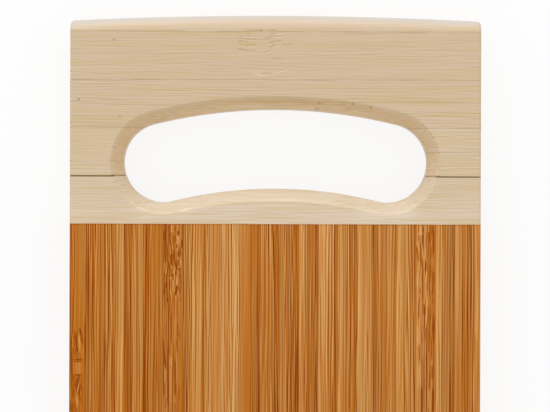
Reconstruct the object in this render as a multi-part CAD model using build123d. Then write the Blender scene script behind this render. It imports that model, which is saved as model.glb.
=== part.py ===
from build123d import *
import math
import os

# A two-tone bamboo cutting board: a dark field of strips on edge, with a tongue and groove at each
# end into a pale cross-grained bar. The handle bar has a curved hand slot.
# The strips are glued up first and the slab is shaped as one piece, so every strip here is its own
# stretch of the shaped slab.
# +X runs across the board, +Y towards the handle and +Z up from the counter. The origin is the
# middle of the underside. Every length is in millimetres.

# Slab
board_width = 152.0
board_thickness = 18.0
crown_radius = 1480.0  # both ends bow outwards on this radius
end_round = 5.0  # roundover along the two bowed ends
side_ease = 0.8  # arris taken off round each straight side

# Dark field, with strips on edge
field_length = 127.0  # from one joint line to the other
field_strip_pitch = 7.2  # thickness of a strip, and so its width on the face
ripped_off = 1.5  # lost from the first strip when the glued field was ripped to width

# Pale bars, each of a face ply, a core ply and a back ply of flat strips
face_ply = 6.0  # thickness of the face ply and of the back ply
bar_strip_width = 17.8  # strips of the face and back plies
crown_strip_width = 6.2  # what the bow leaves of the outermost handle strip, at its middle
core_strip_width = 21.8  # wider, so that the seams of the core lie away from those of the faces

# Tongue and groove
groove_depth = 4.5  # how far each core ply is set back from the joint line
tongue_end_gap = 0.3  # glue room at the bottom of the groove
tongue_cheek_gap = 0.05  # glue film on each side of the tongue

# Hand slot, bent on one centre, with round ends
slot_cheek = 19.5  # wood left at each end of the slot
slot_width = 29.5
slot_inner_radius = 158.9
slot_to_joint = 8.1  # from the lowest points of the slot to the joint line
slot_bevel = 4.6  # width and depth of the bevel round both mouths
bevel_softening = 3.0  # round between the bevel and the wall

# Open glue joint in the face ply, on both sides of the slot
open_joint_width = 0.35
open_joint_depth = 1.2

# Working length
cut_overrun = 1.0  # how far a cutting solid passes the faces that it cuts

# Plan
handle_full_rows = 4
foot_full_rows = 2
handle_bar_depth = handle_full_rows * bar_strip_width + crown_strip_width
foot_bar_depth = foot_full_rows * bar_strip_width
board_length = foot_bar_depth + field_length + handle_bar_depth
left_side = -board_width / 2
right_side = board_width / 2
handle_end = board_length / 2
foot_end = -board_length / 2
handle_joint = handle_end - handle_bar_depth
foot_joint = foot_end + foot_bar_depth
crown_drop = crown_radius - math.sqrt(crown_radius**2 - right_side**2)

# Levels
core_bottom = face_ply
core_top = board_thickness - face_ply

# Slot
slot_length = board_width - 2 * slot_cheek
slot_middle_radius = slot_inner_radius + slot_width / 2
slot_half_angle = math.asin((slot_length - slot_width) / 2 / slot_middle_radius)
slot_end_drop = slot_middle_radius * math.cos(slot_half_angle)
slot_centre = handle_joint + slot_to_joint + slot_width / 2 - slot_end_drop


def slab(low: tuple, high: tuple) -> Part:
    """A plain block between two opposite corners."""
    size = [b - a for a, b in zip(low, high)]
    return Pos(*low) * Box(*size, align=(Align.MIN, Align.MIN, Align.MIN))


def outline() -> Sketch:
    """Plan of the slab: straight sides and bowed ends."""
    corner = handle_end - crown_drop
    right = Line((right_side, -corner), (right_side, corner))
    bow = ThreePointArc((right_side, corner), (0, handle_end), (left_side, corner))
    left = Line((left_side, corner), (left_side, -corner))
    foot = ThreePointArc((left_side, -corner), (0, foot_end), (right_side, -corner))
    return make_face([right, bow, left, foot])


def blank() -> Part:
    """The slab with its ends rounded over and its sides eased, before the slot is cut."""
    plate = extrude(outline(), board_thickness)
    bowed_edges = plate.edges().filter_by(GeomType.CIRCLE)
    plate = fillet(bowed_edges, end_round)
    side_edges = plate.faces().filter_by(Axis.X).edges()
    return chamfer(side_edges, side_ease)


def waist() -> Sketch:
    """Half section of the slot's cutter, from its axis out to the wall, softened corners and bevels."""
    wall = slot_width / 2
    mouth = wall + slot_bevel + cut_overrun
    upper_bevel = board_thickness - slot_bevel
    corners = [
        (0, -cut_overrun),
        (mouth, -cut_overrun),
        (wall, slot_bevel),
        (wall, upper_bevel),
        (mouth, board_thickness + cut_overrun),
        (0, board_thickness + cut_overrun),
    ]
    section = make_face(Polyline(corners, close=True))
    throat = [corner for corner in section.vertices() if slot_bevel <= corner.Y <= upper_bevel]
    return fillet(throat, bevel_softening)


def slot_cutter() -> Part:
    """The solid that leaves the slot: the whole section turned about the bend, and half of it at each end."""
    half = Plane.XZ * waist()
    whole = half + mirror(half, Plane.YZ)
    half_turn = math.degrees(math.pi)
    start = math.degrees(math.pi / 2 - slot_half_angle)
    sweep = math.degrees(2 * slot_half_angle)
    to_end = Pos(slot_middle_radius, 0, 0)
    bend = revolve(to_end * whole, Axis.Z, sweep)
    cap = revolve(half, Axis.Z, half_turn)
    near_cap = to_end * Rot(0, 0, half_turn) * cap
    far_cap = Rot(0, 0, sweep) * to_end * cap
    return Pos(0, slot_centre, 0) * Rot(0, 0, start) * (bend + near_cap + far_cap)


def field_strips(board: Part) -> dict:
    """The strips of the dark field, each with a tongue at both ends."""
    tongue_length = groove_depth - tongue_end_gap
    tongue_low = core_bottom + tongue_cheek_gap
    tongue_high = core_top - tongue_cheek_gap
    first = left_side - ripped_off
    count = math.ceil((right_side - first) / field_strip_pitch)
    strips = {}
    for index in range(count):
        left = max(first + index * field_strip_pitch, left_side)
        right = min(first + (index + 1) * field_strip_pitch, right_side)
        body = slab((left, foot_joint, 0), (right, handle_joint, board_thickness))
        tongue = slab(
            (left, foot_joint - tongue_length, tongue_low),
            (right, handle_joint + tongue_length, tongue_high),
        )
        strips[f"field_strip_{index + 1:02d}"] = (body + tongue) & board
    return strips


def row(board: Part, near: float, far: float, low: float, high: float) -> Part:
    """A bar strip that runs right across the board, between two rows and two levels."""
    return slab((left_side, min(near, far), low), (right_side, max(near, far), high)) & board


def handle_ply(board: Part, name: str, low: float, high: float) -> dict:
    """Face or back ply of the handle bar. The slot parts the cheek row in two."""
    seams = [handle_joint + count * bar_strip_width for count in range(handle_full_rows + 1)]
    cheek_low, cheek_high = seams[1], seams[2]
    left_cheek = slab((left_side, cheek_low, low), (0, cheek_high, high)) & board
    right_cheek = slab((0, cheek_low, low), (right_side, cheek_high, high)) & board
    return {
        f"handle_{name}_lower_strip": row(board, seams[0], seams[1], low, high),
        f"handle_{name}_left_cheek": left_cheek,
        f"handle_{name}_right_cheek": right_cheek,
        f"handle_{name}_arch_strip": row(board, seams[2], seams[3], low, high),
        f"handle_{name}_upper_strip": row(board, seams[3], seams[4], low, high),
        f"handle_{name}_crown_strip": row(board, seams[4], handle_end, low, high),
    }


def core_ply(board: Part, bar: str, start: float, end: float) -> dict:
    """Core ply of a bar, from the bottom of its groove to its bowed end. The last strip is what is left."""
    count = math.ceil(abs(end - start) / core_strip_width)
    step = math.copysign(core_strip_width, end - start)
    seams = [start + index * step for index in range(count)] + [end]
    return {
        f"{bar}_core_strip_{index + 1}": row(board, near, far, core_bottom, core_top)
        for index, (near, far) in enumerate(zip(seams, seams[1:]))
    }


def foot_ply(board: Part, name: str, low: float, high: float) -> dict:
    """Face or back ply of the foot bar."""
    seam = foot_joint - bar_strip_width
    return {
        f"foot_{name}_inner_strip": row(board, foot_joint, seam, low, high),
        f"foot_{name}_outer_strip": row(board, seam, foot_end, low, high),
    }


def open_joint() -> Part:
    """The narrow gap where the glue joint under the cheeks has opened."""
    seam = handle_joint + bar_strip_width
    return slab(
        (left_side - cut_overrun, seam - open_joint_width, board_thickness - open_joint_depth),
        (right_side + cut_overrun, seam, board_thickness + cut_overrun),
    )


def main() -> None:
    """Cuts the shaped slab into its strips and writes each one."""
    board = blank() - slot_cutter()
    pieces = field_strips(board)
    pieces |= handle_ply(board, "face", core_top, board_thickness)
    pieces |= core_ply(board, "handle", handle_joint + groove_depth, handle_end)
    pieces |= handle_ply(board, "back", 0, core_bottom)
    pieces |= foot_ply(board, "face", core_top, board_thickness)
    pieces |= core_ply(board, "foot", foot_joint - groove_depth, foot_end)
    pieces |= foot_ply(board, "back", 0, core_bottom)
    pieces["handle_face_lower_strip"] -= open_joint()
    os.makedirs("parts", exist_ok=True)
    for name, piece in pieces.items():
        export_step(piece, f"parts/{name}.step")
    print(len(pieces), "pieces, board", board_width, "x", round(board_length, 2), "x", board_thickness)


main()
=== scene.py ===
"""Looks of a two-tone bamboo cutting board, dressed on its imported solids.

The board is a field of dark strips on edge between two pale cross-grained bars. Every strip keeps its
solid and gets its own bamboo, whose strands run right through the piece, so that faces, slot and ends
all show the cut that they would in real bamboo. Beads of dried resin lie in the joint that has opened.

Places and sizes of objects are in metres. Grain is written in millimetres, in a strip's own frame:
across the strands, along them, and through the strip's depth. In the dark field that is right, up the
board and up from the counter. In the pale bars it is up the board, to the left and up.
"""
import logging
import math
from dataclasses import dataclass, field, replace
from enum import Enum
from typing import Dict, List, Optional, Tuple, Union

import bpy
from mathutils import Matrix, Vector


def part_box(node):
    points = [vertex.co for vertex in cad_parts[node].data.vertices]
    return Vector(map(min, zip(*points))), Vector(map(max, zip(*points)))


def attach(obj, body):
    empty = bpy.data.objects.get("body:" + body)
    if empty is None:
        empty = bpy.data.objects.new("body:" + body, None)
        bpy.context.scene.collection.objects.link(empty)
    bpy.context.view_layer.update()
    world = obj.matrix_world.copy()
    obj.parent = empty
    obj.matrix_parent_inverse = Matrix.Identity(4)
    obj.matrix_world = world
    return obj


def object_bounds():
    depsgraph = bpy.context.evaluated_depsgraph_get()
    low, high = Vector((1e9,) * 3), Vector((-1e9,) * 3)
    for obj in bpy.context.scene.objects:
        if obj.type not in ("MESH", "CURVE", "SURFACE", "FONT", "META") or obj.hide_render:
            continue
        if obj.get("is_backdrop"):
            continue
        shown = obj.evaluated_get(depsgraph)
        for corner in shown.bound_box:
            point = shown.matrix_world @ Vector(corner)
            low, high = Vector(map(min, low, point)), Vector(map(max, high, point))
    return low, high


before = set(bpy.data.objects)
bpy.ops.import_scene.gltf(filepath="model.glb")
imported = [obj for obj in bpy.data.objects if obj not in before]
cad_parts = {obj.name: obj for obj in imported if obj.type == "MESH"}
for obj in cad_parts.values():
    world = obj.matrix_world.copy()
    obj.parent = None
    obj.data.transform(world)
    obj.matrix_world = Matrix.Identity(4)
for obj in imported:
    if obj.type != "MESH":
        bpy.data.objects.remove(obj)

LOG = logging.getLogger("cutting_board")
BODY = "root"
MM = 0.001

Socket = bpy.types.NodeSocket
Colour = Tuple[float, float, float, float]
Feed = Union[Socket, float, Tuple[float, ...]]
FLOAT = "NodeSocketFloat"
VECTOR = "NodeSocketVector"
COLOUR = "NodeSocketColor"
INT = "NodeSocketInt"
MATERIAL = "NodeSocketMaterial"
GEOMETRY = "NodeSocketGeometry"
THROUGH = 50.0  # a reach that takes in the whole depth of a strip, in millimetres


def shade(red: int, green: int, blue: int) -> Colour:
    """Turns a colour as a screen shows it into the linear colour that a shader takes.

    Args:
        red: Red, 0 to 255.
        green: Green, 0 to 255.
        blue: Blue, 0 to 255.

    Returns:
        The linear colour, opaque.
    """
    full, knee, slope, offset, power = 255, 0.04045, 12.92, 0.055, 2.4
    parts = [value / full for value in (red, green, blue)]
    linear = [part / slope if part <= knee else ((part + offset) / (1 + offset)) ** power for part in parts]
    return (linear[0], linear[1], linear[2], 1.0)


class Grain(Enum):
    """Which way a strip's strands run, as the turn that lays them on the pattern's second axis."""

    ALONG_BOARD = 0.0
    ACROSS_BOARD = -math.pi / 2


class Skin(Enum):
    """The edge of a strip that lay under the culm's skin, where strands are dense and dark."""

    EVEN = 0
    LEFT = -1
    RIGHT = 1


class Tone(Enum):
    """How a strip took its colour: 0 is the darkest of its finish and 1 the palest."""

    RUSSET = 0.38
    CARAMEL = 0.42
    AMBER = 0.46
    GINGER = 0.51
    HONEY = 0.58
    STRAW = 0.63
    FLAXEN = 0.78


class Figure(Enum):
    """How strongly the strands of a strip stand out."""

    QUIET = 0.7
    PLAIN = 1.0
    BOLD = 1.3


class Cast(Enum):
    """How far a strip's hue leans to the rich side of its finish."""

    RICH = 0.8
    WARM = 0.3
    NEUTRAL = 0.0


class Stain(Enum):
    """How steaming coloured a strip, as what it does to the red, green and blue of its finish."""

    TAN = (1.01, 1.04, 1.08)
    EVEN = (1.0, 1.0, 1.0)
    WARM = (1.01, 0.98, 0.85)
    RICH = (1.01, 0.95, 0.7)


class HeartAndEdgeLight(Enum):
    """Colour that bevels and roundovers lay bare under the face of a strip, and how much of it shows.

    Some are the wood under the face, and some are painted light: a warmer shade on bevels that face
    away from the lamp, and a whiter sheen on edges that face it.
    """

    LIKE_FACE = (shade(211, 187, 155), 0.0)
    # Painted shade: darker and warmer, for the bevels that face away from the lamp.
    PAINTED_WARM_SHADE = (shade(208, 170, 112), 0.4)
    TAN = (shade(206, 174, 128), 0.35)
    # The pale core wood, and on the slot's lower bevel, which faces the lamp, a painted whiter sheen.
    PALE_CORE_AND_PAINTED_SHEEN = (shade(209, 191, 166), 0.5)
    # Painted sheen: the whitening of the crown's roundover where it catches the lamp and the white room.
    PAINTED_SHEEN = (shade(196, 190, 183), 0.75)


@dataclass(frozen=True)
class Vein:
    """A dark strand that runs on the face of a strip, in millimetres from the strip's middle."""

    across: float
    strength: float = 1.0
    width: float = 0.27
    along: float = 0.0
    reach: float = 400.0


@dataclass(frozen=True)
class Mark:
    """A short streak on a strip, in millimetres from the strip's middle.

    It leans to the right of the strands by its turn, in degrees, and bends by its bow for each square
    millimetre along it. A strength below 0 makes it pale.
    """

    across: float
    along: float
    half_length: float
    turn: float = 0.0
    strength: float = 1.0
    half_width: float = 0.2
    bow: float = 0.0


@dataclass(frozen=True)
class Pin:
    """A dark pinprick or stain on the face of a strip, in millimetres from the strip's middle."""

    across: float
    along: float
    size: float = 0.4
    length: float = 0.5
    strength: float = 0.7


@dataclass(frozen=True)
class Knot:
    """Where a node of the culm crossed a strip and upset its strands, in millimetres."""

    across: float
    along: float
    half_width: float
    half_length: float


@dataclass(frozen=True)
class StripLook:
    """What sets one strip's bamboo apart from its neighbours'."""

    tone: Tone
    skin: Skin = Skin.EVEN
    lean: float = 0.0
    figure: Figure = Figure.PLAIN
    veins: Tuple[Vein, ...] = ()
    knots: Tuple[Knot, ...] = ()
    marks: Tuple[Mark, ...] = ()
    pins: Tuple[Pin, ...] = ()
    cast: Cast = Cast.NEUTRAL
    stain: Stain = Stain.EVEN
    heart_and_edge_light: HeartAndEdgeLight = HeartAndEdgeLight.LIKE_FACE
    ragged: float = 0.35


@dataclass(frozen=True)
class StripPlace:
    """Where a strip lies: its middle and half sizes, across and through, in millimetres.

    Its face is 1 where the strip shows its upper face, and -1 where it shows its lower one.
    """

    middle: Vector
    half_across: float
    half_through: float
    grain: Grain
    face: int = 1


class NodeWriter:
    """Writes a node tree: each call adds a node, feeds it and gives back its result."""

    def __init__(self, tree: bpy.types.NodeTree) -> None:
        """Keeps the tree that the nodes go into."""
        self.tree = tree

    @classmethod
    def blank(cls, owner: Union[bpy.types.Material, bpy.types.World]) -> "NodeWriter":
        """Empties the node tree of a material or a world.

        Args:
            owner: The material or world.

        Returns:
            A writer for its tree.
        """
        owner.use_nodes = True
        owner.node_tree.nodes.clear()
        return cls(owner.node_tree)

    def feed(self, socket: Socket, value: Feed) -> None:
        """Links a socket to another node's result, or sets its own value.

        Args:
            socket: The socket to feed.
            value: A result, or a plain value.
        """
        if isinstance(value, bpy.types.NodeSocket):
            self.tree.links.new(value, socket)
        else:
            socket.default_value = value

    def add(
        self, kind: str, inputs: Optional[Dict[Union[str, int], Feed]] = None, **settings: object
    ) -> bpy.types.Node:
        """Adds one node.

        Args:
            kind: The node's type name.
            inputs: What feeds its sockets, by label or number.
            **settings: Its other properties.

        Returns:
            The new node.
        """
        node = self.tree.nodes.new(kind)
        for label, value in settings.items():
            setattr(node, label, value)
        for key, value in (inputs or {}).items():
            self.feed(node.inputs[key], value)
        return node

    def math(self, operation: str, *values: Feed) -> Socket:
        """Works out one number from others."""
        return self.add("ShaderNodeMath", dict(enumerate(values)), operation=operation).outputs[0]

    def vector(self, operation: str, *values: Feed) -> Socket:
        """Works out one vector from others."""
        node = self.add("ShaderNodeVectorMath", dict(enumerate(values)), operation=operation)
        return node.outputs["Vector"]

    def measure(self, operation: str, *values: Feed) -> Socket:
        """Works out one number from vectors."""
        node = self.add("ShaderNodeVectorMath", dict(enumerate(values)), operation=operation)
        return node.outputs["Value"]

    def combine(self, across: Feed, along: Feed, through: Feed) -> Socket:
        """Makes a vector of three numbers."""
        return self.add("ShaderNodeCombineXYZ", {0: across, 1: along, 2: through}).outputs[0]

    def separate(self, value: Feed) -> Tuple[Socket, Socket, Socket]:
        """Splits a vector into its three numbers."""
        parts = self.add("ShaderNodeSeparateXYZ", {0: value}).outputs
        return parts[0], parts[1], parts[2]

    def ease(self, value: Feed, start: Feed, end: Feed, low: Feed = 0.0, high: Feed = 1.0) -> Socket:
        """Passes softly from one value to another as a number goes from start to end."""
        inputs = {0: value, 1: start, 2: end, 3: low, 4: high}
        return self.add("ShaderNodeMapRange", inputs, interpolation_type="SMOOTHSTEP").outputs[0]

    def spread(self, value: Feed, start: float, end: float, low: float, high: float) -> Socket:
        """Maps a range onto another in a straight line, and holds it there."""
        return self.add("ShaderNodeMapRange", {0: value, 1: start, 2: end, 3: low, 4: high}).outputs[0]

    def blend(self, share: Feed, first: Feed, second: Feed) -> Socket:
        """Passes from one number to another."""
        return self.add("ShaderNodeMix", {0: share, 2: first, 3: second}, data_type="FLOAT").outputs[0]

    def tint(self, share: Feed, first: Feed, second: Feed) -> Socket:
        """Passes from one colour to another."""
        return self.add("ShaderNodeMix", {0: share, 6: first, 7: second}, data_type="RGBA").outputs[2]

    def noise(self, place: Feed, detail: float = 1.0) -> Socket:
        """Adds a noise whose cells are one unit across."""
        return self.add("ShaderNodeTexNoise", {"Vector": place, "Scale": 1.0, "Detail": detail}).outputs[0]

    def bell(self, value: Feed) -> Socket:
        """A soft peak of 1 where a number is 0, which fades on both sides."""
        return self.math("EXPONENT", self.math("MULTIPLY", self.math("MULTIPLY", value, value), -1.0))


class SharedEffect:
    """A shader group that is written once and placed in each material with its own values."""

    name = ""
    takes: Dict[str, str] = {}
    gives: Dict[str, str] = {}

    @classmethod
    def write(cls, writer: NodeWriter, given: bpy.types.NodeOutputs) -> Dict[str, Socket]:
        """Writes the group's nodes and gives its results by label."""
        raise NotImplementedError

    @classmethod
    def tree(cls) -> bpy.types.NodeTree:
        """Finds the group, or writes it at its first use.

        Returns:
            The group's node tree.
        """
        found = bpy.data.node_groups.get(cls.name)
        if found:
            return found
        tree = bpy.data.node_groups.new(cls.name, "ShaderNodeTree")
        for label, kind in cls.takes.items():
            tree.interface.new_socket(label, in_out="INPUT", socket_type=kind)
        for label, kind in cls.gives.items():
            tree.interface.new_socket(label, in_out="OUTPUT", socket_type=kind)
        writer = NodeWriter(tree)
        given = writer.add("NodeGroupInput").outputs
        results = cls.write(writer, given)
        writer.add("NodeGroupOutput", results)
        return tree

    @classmethod
    def place(cls, writer: NodeWriter, values: Dict[str, Feed]) -> bpy.types.NodeOutputs:
        """Places the group in a material.

        Args:
            writer: The material's writer.
            values: What feeds the group's inputs, by label.

        Returns:
            The group's outputs.
        """
        node = writer.add("ShaderNodeGroup", node_tree=cls.tree())
        for label, value in values.items():
            writer.feed(node.inputs[label], value)
        return node.outputs


class StrandEffect(SharedEffect):
    """Strands of a strip and the bundles that they lie in, with a slow drift and the upset round a knot."""

    name = "Bamboo strands"
    takes = {"Place": VECTOR, "Seed": FLOAT, "Width": FLOAT, "Run": FLOAT, "Drift": FLOAT, "Knot": FLOAT}
    gives = {"Settled": VECTOR, "Strands": FLOAT, "Bundles": FLOAT, "Broad": FLOAT, "Hue": FLOAT}

    seed_step = (13.7, 129.3, 7.9)
    hue_shift = (311.0, 97.0, 53.0)
    drift_cells = (1 / 9, 1 / 70, 1 / 9)
    lean_cells = (1 / 14, 1 / 9, 1 / 14)
    lean_reach = 0.8
    knot_share = 1.1
    knot_run = 22.0
    bundle_share = 2.6
    broad_share = 7.0
    hue_share = 3.0
    hue_lean = -0.45
    depth_share = 1.2
    soft_range = (0.34, 0.66)
    slow_range = (0.25, 0.75)
    beside = 0.85
    keen_range = 0.36
    pale_share = 0.4
    density_share = 4.5
    density_shift = (57.0, 211.0, 19.0)
    sparse, dense = 0.35, 1.7

    @staticmethod
    def stretched(writer: NodeWriter, place: Socket, width: Feed, run: Feed) -> Socket:
        """Counts a place in strands: widths across and through, and runs of so many widths along.

        Args:
            writer: The group's writer.
            place: Where the surface is, in millimetres.
            width: How wide a strand is.
            run: How many widths long it is.

        Returns:
            The place, counted in strands.
        """
        cell = writer.math("DIVIDE", 1.0, width)
        lengthwise = writer.math("DIVIDE", cell, run)
        inwards = writer.math("DIVIDE", cell, StrandEffect.depth_share)
        return writer.vector("MULTIPLY", place, writer.combine(cell, lengthwise, inwards))

    @classmethod
    def soft(cls, writer: NodeWriter, place: Socket, width: Feed, run: Feed) -> Socket:
        """Soft streaks, from -1 to 1."""
        streaks = writer.noise(cls.stretched(writer, place, width, run))
        return writer.spread(streaks, *cls.soft_range, -1.0, 1.0)

    @classmethod
    def keen(cls, writer: NodeWriter, place: Socket, width: Feed, run: Feed) -> Socket:
        """Keen lines, dark below 0 and pale above: each strand stands out from the two beside it.

        Args:
            writer: The group's writer.
            place: Where the surface is, in millimetres.
            width: How wide a strand is.
            run: How many widths long it is.

        Returns:
            The lines.
        """
        middle = cls.stretched(writer, place, width, run)
        left = writer.noise(writer.vector("SUBTRACT", middle, (cls.beside, 0.0, 0.0)), 0.0)
        right = writer.noise(writer.vector("ADD", middle, (cls.beside, 0.0, 0.0)), 0.0)
        twice = writer.math("MULTIPLY", writer.noise(middle, 0.0), 2.0)
        proud = writer.math("SUBTRACT", twice, writer.math("ADD", left, right))
        lines = writer.spread(proud, -cls.keen_range, cls.keen_range, -1.0, 1.0)
        return writer.math("MINIMUM", lines, writer.math("MULTIPLY", lines, cls.pale_share))

    @classmethod
    def write(cls, writer: NodeWriter, given: bpy.types.NodeOutputs) -> Dict[str, Socket]:
        """Writes the drift, the lean round a knot and the layers. Pale bands have the duller hue.

        Args:
            writer: The group's writer.
            given: What the group takes.

        Returns:
            What the group gives, by label.
        """
        seed = given["Seed"]
        shift = writer.combine(*[writer.math("MULTIPLY", seed, step) for step in cls.seed_step])
        start = writer.vector("ADD", given["Place"], shift)
        slow = writer.noise(writer.vector("MULTIPLY", start, cls.drift_cells))
        drift = writer.math("MULTIPLY", writer.spread(slow, *cls.slow_range, -1.0, 1.0), given["Drift"])
        leaning = writer.noise(writer.vector("MULTIPLY", start, cls.lean_cells))
        lean = writer.spread(leaning, *cls.slow_range, -cls.lean_reach, cls.lean_reach)
        sideways = writer.math("MULTIPLY_ADD", lean, given["Knot"], drift)
        settled = writer.vector("ADD", given["Place"], writer.combine(sideways, 0.0, 0.0))
        moved = writer.vector("ADD", settled, shift)
        width, run = given["Width"], given["Run"]
        patch = writer.vector("ADD", moved, cls.density_shift)
        crowd = cls.soft(writer, patch, writer.math("MULTIPLY", width, cls.density_share), run)
        density = writer.spread(crowd, -1.0, 1.0, cls.sparse, cls.dense)
        straight = writer.math("MULTIPLY", cls.keen(writer, moved, width, run), density)
        upset = cls.keen(writer, moved, writer.math("MULTIPLY", width, cls.knot_share), cls.knot_run)
        bundles = cls.soft(writer, moved, writer.math("MULTIPLY", width, cls.bundle_share), run)
        broad = cls.soft(writer, moved, writer.math("MULTIPLY", width, cls.broad_share), run)
        elsewhere = writer.vector("ADD", moved, cls.hue_shift)
        hue = cls.soft(writer, elsewhere, writer.math("MULTIPLY", width, cls.hue_share), run)
        return {
            "Settled": settled,
            "Strands": writer.blend(given["Knot"], straight, upset),
            "Bundles": bundles,
            "Broad": broad,
            "Hue": writer.math("MULTIPLY_ADD", broad, cls.hue_lean, hue),
        }


class KnotEffect(SharedEffect):
    """How far a place lies inside the upset wood round a knot, from 0 to 1."""

    name = "Knot reach"
    takes = {"Place": VECTOR, "Middle": VECTOR, "Reach": VECTOR}
    gives = {"Knot": FLOAT}

    core_share = 0.5

    @classmethod
    def write(cls, writer: NodeWriter, given: bpy.types.NodeOutputs) -> Dict[str, Socket]:
        """Measures the distance in reaches, and fades it.

        Args:
            writer: The group's writer.
            given: What the group takes.

        Returns:
            What the group gives, by label.
        """
        away = writer.vector("SUBTRACT", given["Place"], given["Middle"])
        share = writer.measure("LENGTH", writer.vector("DIVIDE", away, given["Reach"]))
        return {"Knot": writer.ease(share, cls.core_share, 1.0, 1.0, 0.0)}


class VeinEffect(SharedEffect):
    """One dark strand on the face of a strip."""

    name = "Dark vein"
    takes = {
        "Settled": VECTOR, "Seed": FLOAT, "Across": FLOAT, "Width": FLOAT, "Along": FLOAT, "Reach": FLOAT,
        "Strength": FLOAT,
    }
    gives = {"Vein": FLOAT}

    patch_length = 34.0
    patch_range = (0.3, 0.65)
    faintest = 0.45
    end_share = 0.75

    @classmethod
    def write(cls, writer: NodeWriter, given: bpy.types.NodeOutputs) -> Dict[str, Socket]:
        """Writes a soft line that thins out along its run and at its ends.

        Args:
            writer: The group's writer.
            given: What the group takes.

        Returns:
            What the group gives, by label.
        """
        across, along, _ = writer.separate(given["Settled"])
        beside = writer.math("SUBTRACT", across, given["Across"])
        line = writer.bell(writer.math("DIVIDE", beside, given["Width"]))
        patch = writer.combine(
            writer.math("ADD", given["Across"], given["Seed"]),
            writer.math("DIVIDE", along, cls.patch_length),
            given["Seed"],
        )
        thin = writer.spread(writer.noise(patch), *cls.patch_range, cls.faintest, 1.0)
        away = writer.math("ABSOLUTE", writer.math("SUBTRACT", along, given["Along"]))
        share = writer.math("DIVIDE", away, given["Reach"])
        held = writer.ease(share, cls.end_share, 1.0, 1.0, 0.0)
        strong = writer.math("MULTIPLY", writer.math("MULTIPLY", thin, held), given["Strength"])
        return {"Vein": writer.math("MULTIPLY", line, strong)}


class MarkEffect(SharedEffect):
    """One short streak, which may lean and bend."""

    name = "Short streak"
    takes = {
        "Place": VECTOR, "Middle": VECTOR, "Side": VECTOR, "Run": VECTOR, "Half Length": FLOAT,
        "Half Width": FLOAT, "Bow": FLOAT, "Strength": FLOAT,
    }
    gives = {"Mark": FLOAT}

    end_share = 0.45

    @classmethod
    def write(cls, writer: NodeWriter, given: bpy.types.NodeOutputs) -> Dict[str, Socket]:
        """Writes a soft line in the streak's own turned frame.

        Args:
            writer: The group's writer.
            given: What the group takes.

        Returns:
            What the group gives, by label.
        """
        away = writer.vector("SUBTRACT", given["Place"], given["Middle"])
        across = writer.measure("DOT_PRODUCT", away, given["Side"])
        along = writer.measure("DOT_PRODUCT", away, given["Run"])
        bend = writer.math("MULTIPLY", writer.math("MULTIPLY", along, along), given["Bow"])
        beside = writer.math("SUBTRACT", across, bend)
        line = writer.bell(writer.math("DIVIDE", beside, given["Half Width"]))
        share = writer.math("DIVIDE", writer.math("ABSOLUTE", along), given["Half Length"])
        held = writer.ease(share, cls.end_share, 1.0, 1.0, 0.0)
        return {"Mark": writer.math("MULTIPLY", writer.math("MULTIPLY", line, held), given["Strength"])}


class ToneEffect(SharedEffect):
    """Adds up what makes a place in a strip darker or paler, and how high its strands stand."""

    name = "Strip tone"
    takes = dict.fromkeys(
        (
            "Strands", "Bundles", "Broad", "Skinward", "Veins", "Marks", "Knot", "Raw", "Base", "Lean",
            "Figure", "Contrast", "Cut Contrast", "Bundling",
        ),
        FLOAT,
    )
    gives = {"Tone": FLOAT, "Height": FLOAT}

    strand_weight = 0.345
    bundle_weight = 0.1
    broad_weight = 0.09
    vein_weight = 0.36
    mark_weight = 0.6
    knot_weight = 0.5
    pith_density, skin_density = 0.4, 1.6

    @classmethod
    def write(cls, writer: NodeWriter, given: bpy.types.NodeOutputs) -> Dict[str, Socket]:
        """Writes the sum. Strands stand out more towards the skin, where they crowd, and on raw cuts.

        Args:
            writer: The group's writer.
            given: What the group takes.

        Returns:
            What the group gives, by label.
        """
        density = writer.spread(given["Skinward"], -1.0, 1.0, cls.pith_density, cls.skin_density)
        contrast = writer.blend(given["Raw"], given["Contrast"], given["Cut Contrast"])
        figure = writer.math("MULTIPLY", writer.math("MULTIPLY", density, given["Figure"]), contrast)
        strands = writer.math("MULTIPLY", given["Strands"], cls.strand_weight)
        massed = writer.math("MULTIPLY", given["Bundling"], cls.bundle_weight)
        bundles = writer.math("MULTIPLY_ADD", given["Bundles"], massed, strands)
        lines = writer.math("MULTIPLY", bundles, figure)
        churned = writer.math("MULTIPLY", given["Strands"], cls.knot_weight)
        lines = writer.blend(given["Knot"], lines, churned)
        banded = writer.math("MULTIPLY", given["Bundling"], contrast)
        spread = writer.math("MULTIPLY", banded, cls.broad_weight)
        tone = writer.math("MULTIPLY_ADD", given["Broad"], spread, writer.math("ADD", given["Base"], lines))
        tone = writer.math("SUBTRACT", tone, writer.math("MULTIPLY", given["Skinward"], given["Lean"]))
        veins = writer.math("MULTIPLY", given["Veins"], writer.math("MULTIPLY", contrast, cls.vein_weight))
        marks = writer.math("MULTIPLY", given["Marks"], cls.mark_weight)
        tone = writer.math("SUBTRACT", writer.math("SUBTRACT", tone, veins), marks)
        proud = writer.math("ADD", given["Strands"], given["Bundles"])
        height = writer.math("SUBTRACT", proud, given["Veins"])
        return {"Tone": tone, "Height": height}


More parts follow.
